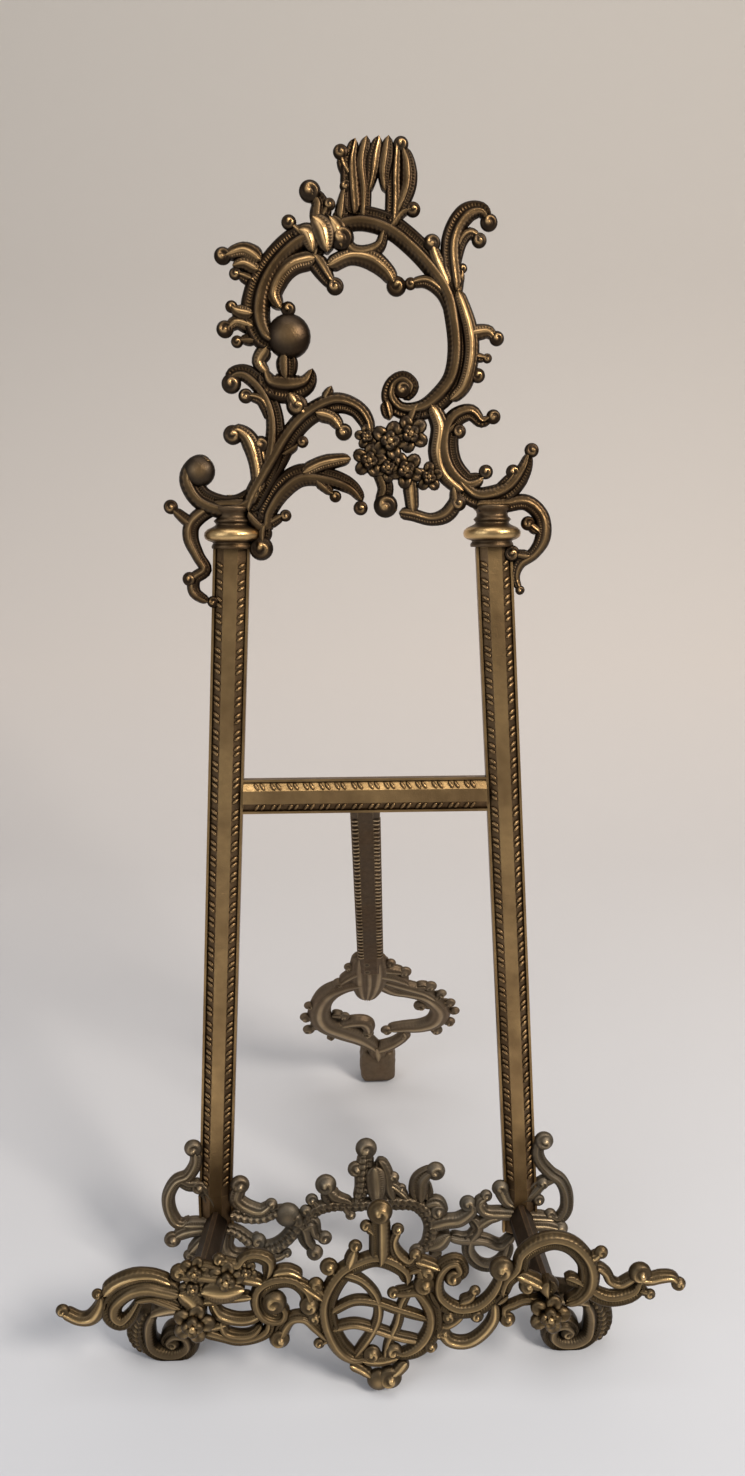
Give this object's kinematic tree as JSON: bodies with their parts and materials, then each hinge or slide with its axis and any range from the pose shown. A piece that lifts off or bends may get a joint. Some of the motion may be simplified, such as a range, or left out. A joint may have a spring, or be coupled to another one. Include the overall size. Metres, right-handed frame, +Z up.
{
  "type": "photo album stand",
  "caption": "Rococo cast table stand leaning back on a hinged leg, with pierced scroll crest, lower rail, ledge arms and an openwork front rail that hold an album.",
  "frame": {"origin": "on the floor, under the middle of the stand", "axes": "+Z up, +X to the right of a viewer in front of the stand, +Y away from that viewer towards the leg"},
  "size_m": [0.2852, 0.2162, 0.5221],
  "materials": {
    "crest_brass": "dark antique patina, rubbed bright on the ridges",
    "bar_brass": "satin antique brass",
    "capital_brass": "antique patina",
    "lower_brass": "tarnished antique brass with a grey-green film",
    "arm_brass": "dark brown streaked patina",
    "rail_brass": "old gold lacquer, worn",
    "foot_brass": "antique patina",
    "leg_brass": "greenish brown patina",
    "hinge_brass": "dark antique patina",
    "fastener_brass": "plain worn brass"
  },
  "bodies": {
    "stand": {"crest": "crest_brass", "left_capital": "capital_brass", "right_capital": "capital_brass", "left_stile": "bar_brass", "right_stile": "bar_brass", "crossbar": "bar_brass", "capital_dowels": "fastener_brass", "lower_rail": "lower_brass", "left_ledge_arm": "arm_brass", "right_ledge_arm": "arm_brass", "arm_screws": "fastener_brass", "front_rail": "rail_brass", "left_rosette": "rail_brass", "right_rosette": "rail_brass", "rosette_studs": "fastener_brass", "left_front_foot": "foot_brass", "right_front_foot": "foot_brass", "foot_screws": "fastener_brass", "hinge_bracket": "hinge_brass", "bracket_rivets": "fastener_brass", "hinge_pin": "fastener_brass", "pin_washers": "fastener_brass"},
    "leg": {"rear_leg": "leg_brass", "leg_foot_ornament": "leg_brass", "ornament_rivets": "fastener_brass", "leg_pad": "leg_brass"}
  },
  "joints": [
    {"name": "leg_hinge", "type": "hinge", "parent": "stand", "child": "leg", "pos_m": [0, 0.01464, 0.2445], "axis": [1, 0, 0], "range_deg": [-33.5, 0]}
  ]
}
